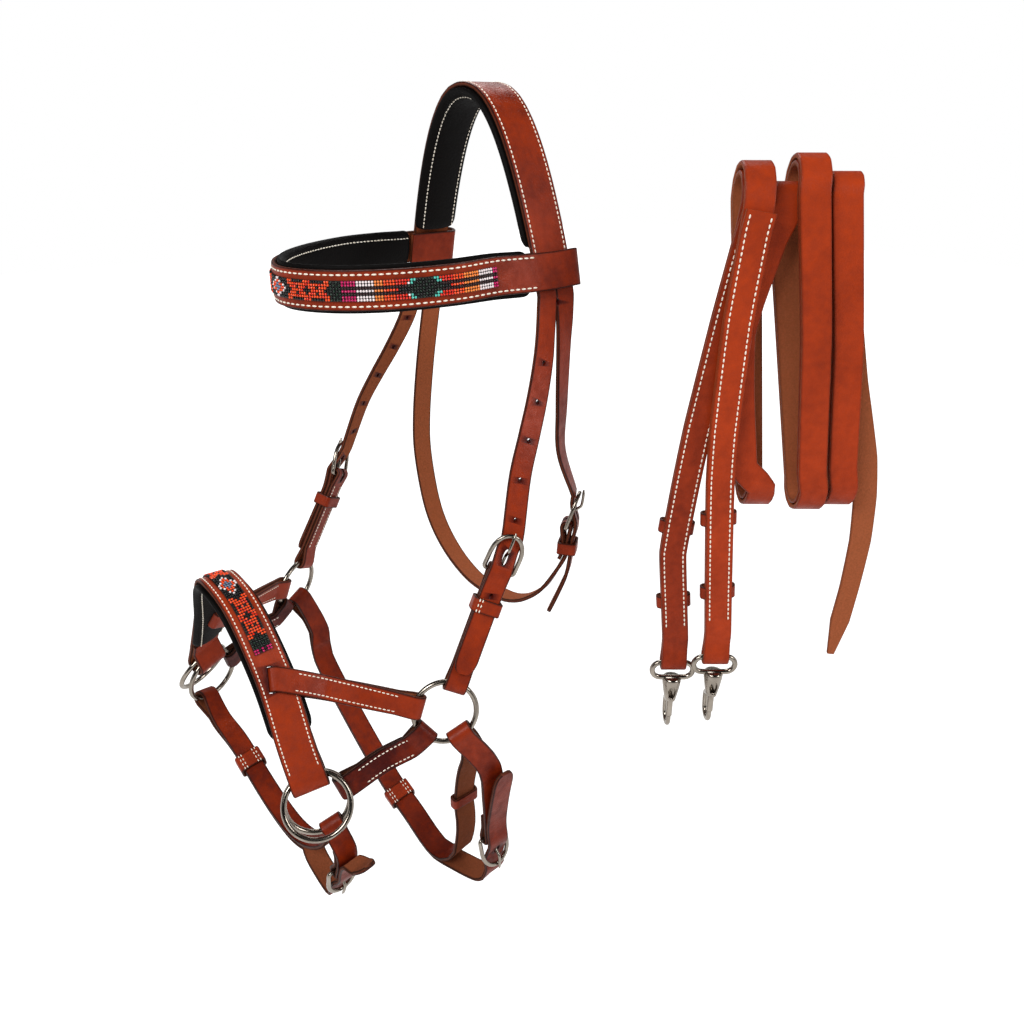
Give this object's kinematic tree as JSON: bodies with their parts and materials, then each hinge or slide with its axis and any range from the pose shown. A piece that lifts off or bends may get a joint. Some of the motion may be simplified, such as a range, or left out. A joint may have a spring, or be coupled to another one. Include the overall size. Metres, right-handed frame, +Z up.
{
  "type": "sidepull bridle",
  "caption": "Bitless sidepull bridle of chestnut leather with padded, beaded browband and noseband, and coiled split reins with bolt snaps.",
  "frame": {"origin": "underside of the padded crown at the poll, where a head carries the bridle", "axes": "+Z up, the horse faces -Y, +X towards the horse's near (left) side"},
  "size_m": [0.3904, 0.4193, 0.5917],
  "materials": {
    "chestnut_leather": "waxed, with cream stitching",
    "black_lining": "soft, matte, padded",
    "glass_beads": "woven seed beads in several colours",
    "nickel_plate": "nickel plated, polished",
    "spring_steel": "plain spring wire"
  },
  "bodies": {
    "headpiece": {"crown_piece": "chestnut_leather", "crown_padding": "black_lining", "browband_leather": "chestnut_leather", "browband_padding": "black_lining", "browband_beads": "glass_beads", "cheek_chape_near": "chestnut_leather", "cheek_chape_far": "chestnut_leather", "cheek_buckle_near": "nickel_plate", "cheek_buckle_far": "nickel_plate", "throat_buckle": "nickel_plate"},
    "noseband": {"noseband_leather": "chestnut_leather", "noseband_padding": "black_lining", "noseband_beads": "glass_beads", "side_strap_upper_near": "chestnut_leather", "side_strap_upper_far": "chestnut_leather", "side_strap_lower_near": "chestnut_leather", "side_strap_lower_far": "chestnut_leather"},
    "jaw_belt": {"jaw_strap": "chestnut_leather", "jaw_keeper_stitched": "chestnut_leather", "jaw_buckle": "nickel_plate"},
    "chin_belt": {"chin_strap": "chestnut_leather", "chin_keeper_stitched": "chestnut_leather", "chin_buckle": "nickel_plate"},
    "reins": {"rein_1": "chestnut_leather", "rein_2": "chestnut_leather"},
    "cheek_keeper_far_body": {"cheek_keeper_far": "chestnut_leather"},
    "cheek_keeper_near_body": {"cheek_keeper_near": "chestnut_leather"},
    "cheek_ring_far_body": {"cheek_ring_far": "nickel_plate"},
    "cheek_ring_near_body": {"cheek_ring_near": "nickel_plate"},
    "cheek_tongue_far_body": {"cheek_tongue_far": "nickel_plate"},
    "cheek_tongue_near_body": {"cheek_tongue_near": "nickel_plate"},
    "chin_tongue_body": {"chin_tongue": "nickel_plate"},
    "inner_ring_far_body": {"inner_ring_far": "nickel_plate"},
    "inner_ring_near_body": {"inner_ring_near": "nickel_plate"},
    "jaw_keeper_loop_body": {"jaw_keeper_loop": "chestnut_leather"},
    "jaw_tongue_body": {"jaw_tongue": "nickel_plate"},
    "rein_keeper_lower_1_body": {"rein_keeper_lower_1": "chestnut_leather"},
    "rein_keeper_lower_2_body": {"rein_keeper_lower_2": "chestnut_leather"},
    "rein_keeper_upper_1_body": {"rein_keeper_upper_1": "chestnut_leather"},
    "rein_keeper_upper_2_body": {"rein_keeper_upper_2": "chestnut_leather"},
    "rein_ring_far_body": {"rein_ring_far": "nickel_plate"},
    "rein_ring_near_body": {"rein_ring_near": "nickel_plate"},
    "throat_keeper_body": {"throat_keeper": "chestnut_leather"},
    "throat_tongue_body": {"throat_tongue": "nickel_plate"},
    "snap_1": {"snap_body_1": "nickel_plate", "snap_spring_1": "spring_steel"},
    "snap_bolt_1_body": {"snap_bolt_1": "nickel_plate"},
    "snap_2": {"snap_body_2": "nickel_plate", "snap_spring_2": "spring_steel"},
    "snap_bolt_2_body": {"snap_bolt_2": "nickel_plate"}
  },
  "joints": [
    {"name": "noseband_swing", "type": "hinge", "parent": "headpiece", "child": "noseband", "pos_m": [0, -0.124, -0.398], "axis": [1, 0, 0], "range_deg": [-2, 2]},
    {"name": "jaw_belt_swing", "type": "hinge", "parent": "headpiece", "child": "jaw_belt", "pos_m": [0, -0.124, -0.398], "axis": [1, 0, 0], "range_deg": [-5, 7]},
    {"name": "chin_belt_swing", "type": "hinge", "parent": "noseband", "child": "chin_belt", "pos_m": [0, -0.21673, -0.44487], "axis": [1, 0, 0], "range_deg": [-4, 5]},
    {"name": "cheek_ring_near_turn", "type": "hinge", "parent": "headpiece", "child": "cheek_ring_near_body", "pos_m": [0.12, -0.124, -0.398], "axis": [0.8672, -0.454, 0.2046], "continuous": true},
    {"name": "cheek_ring_far_turn", "type": "hinge", "parent": "headpiece", "child": "cheek_ring_far_body", "pos_m": [-0.12, -0.124, -0.398], "axis": [-0.8672, -0.454, 0.2046], "continuous": true},
    {"name": "rein_ring_near_turn", "type": "hinge", "parent": "noseband", "child": "rein_ring_near_body", "pos_m": [0.1067, -0.22079, -0.43985], "axis": [0.7739, -0.3584, 0.5221], "continuous": true},
    {"name": "rein_ring_far_turn", "type": "hinge", "parent": "noseband", "child": "rein_ring_far_body", "pos_m": [-0.1067, -0.22079, -0.43985], "axis": [-0.7739, -0.3584, 0.5221], "continuous": true},
    {"name": "inner_ring_near_turn", "type": "hinge", "parent": "noseband", "child": "inner_ring_near_body", "pos_m": [0.0973, -0.21673, -0.44487], "axis": [0.9095, -0.3389, 0.2409], "continuous": true},
    {"name": "inner_ring_far_turn", "type": "hinge", "parent": "noseband", "child": "inner_ring_far_body", "pos_m": [-0.0973, -0.21673, -0.44487], "axis": [-0.9095, -0.3389, 0.2409], "continuous": true},
    {"name": "cheek_tongue_near_lift", "type": "hinge", "parent": "headpiece", "child": "cheek_tongue_near_body", "pos_m": [0.11769, -0.07418, -0.30207], "axis": [0.4976, 0.7746, -0.3903], "range_deg": [0, 8]},
    {"name": "cheek_tongue_far_lift", "type": "hinge", "parent": "headpiece", "child": "cheek_tongue_far_body", "pos_m": [-0.11769, -0.07418, -0.30207], "axis": [0.4976, -0.7746, 0.3903], "range_deg": [0, 8]},
    {"name": "throat_tongue_lift", "type": "hinge", "parent": "headpiece", "child": "throat_tongue_body", "pos_m": [0.082, 0.021, -0.306], "axis": [-0.658, 0.7477, -0.0888], "range_deg": [0, 10]},
    {"name": "jaw_tongue_lift", "type": "hinge", "parent": "jaw_belt", "child": "jaw_tongue_body", "pos_m": [0.129, -0.09, -0.524], "axis": [0.005, -0.9981, -0.0611], "range_deg": [0, 10]},
    {"name": "chin_tongue_lift", "type": "hinge", "parent": "chin_belt", "child": "chin_tongue_body", "pos_m": [0.107, -0.207, -0.503], "axis": [0.0434, -0.9987, -0.0252], "range_deg": [0, 10]},
    {"name": "cheek_keeper_near_slide", "type": "slide", "parent": "headpiece", "child": "cheek_keeper_near_body", "axis": [-0.0214, 0.4608, 0.8872], "range_m": [-0.004, 0.008]},
    {"name": "cheek_keeper_far_slide", "type": "slide", "parent": "headpiece", "child": "cheek_keeper_far_body", "axis": [0.0214, 0.4608, 0.8872], "range_m": [-0.004, 0.008]},
    {"name": "throat_keeper_slide", "type": "slide", "parent": "headpiece", "child": "throat_keeper_body", "axis": [-0.0201, 0.1005, 0.9947], "range_m": [-0.0005, 0.002]},
    {"name": "jaw_keeper_loop_slide", "type": "slide", "parent": "jaw_belt", "child": "jaw_keeper_loop_body", "axis": [-0.099, 0.0573, -0.9934], "range_m": [-0.003, 0.006]},
    {"name": "rein_keeper_upper_1_slide", "type": "slide", "parent": "reins", "child": "rein_keeper_upper_1_body", "axis": [0.0595, 0.0761, 0.9953], "range_m": [-0.015, 0.02]},
    {"name": "rein_keeper_lower_1_slide", "type": "slide", "parent": "reins", "child": "rein_keeper_lower_1_body", "axis": [-0.061, -0.0781, 0.9951], "range_m": [-0.02, 0.02]},
    {"name": "rein_keeper_upper_2_slide", "type": "slide", "parent": "reins", "child": "rein_keeper_upper_2_body", "axis": [-0.0483, -0.0618, 0.9969], "range_m": [-0.02, 0.02]},
    {"name": "rein_keeper_lower_2_slide", "type": "slide", "parent": "reins", "child": "rein_keeper_lower_2_body", "axis": [-0.0495, -0.0633, 0.9968], "range_m": [-0.02, 0.02]},
    {"name": "reins_lift_off", "type": "slide", "parent": "headpiece", "child": "reins", "axis": [0, 0, 1], "range_m": [0, 0.25]},
    {"name": "snap_1_swing", "type": "hinge", "parent": "reins", "child": "snap_1", "pos_m": [0.18294, 0.04261, -0.391], "axis": [0.6157, 0.788, 0], "range_deg": [-40, 60]},
    {"name": "snap_bolt_1_slide", "type": "slide", "parent": "snap_1", "child": "snap_bolt_1_body", "axis": [0, 0, 1], "range_m": [0, 0.006], "stiffness_N_per_m": 300, "springref_m": -0.003, "deforming": ["snap_spring_1"]},
    {"name": "snap_2_swing", "type": "hinge", "parent": "reins", "child": "snap_2", "pos_m": [0.20702, 0.06123, -0.381], "axis": [0.6157, 0.788, 0], "range_deg": [-40, 60]},
    {"name": "snap_bolt_2_slide", "type": "slide", "parent": "snap_2", "child": "snap_bolt_2_body", "axis": [0, 0, 1], "range_m": [0, 0.006], "stiffness_N_per_m": 300, "springref_m": -0.003, "deforming": ["snap_spring_2"]}
  ]
}
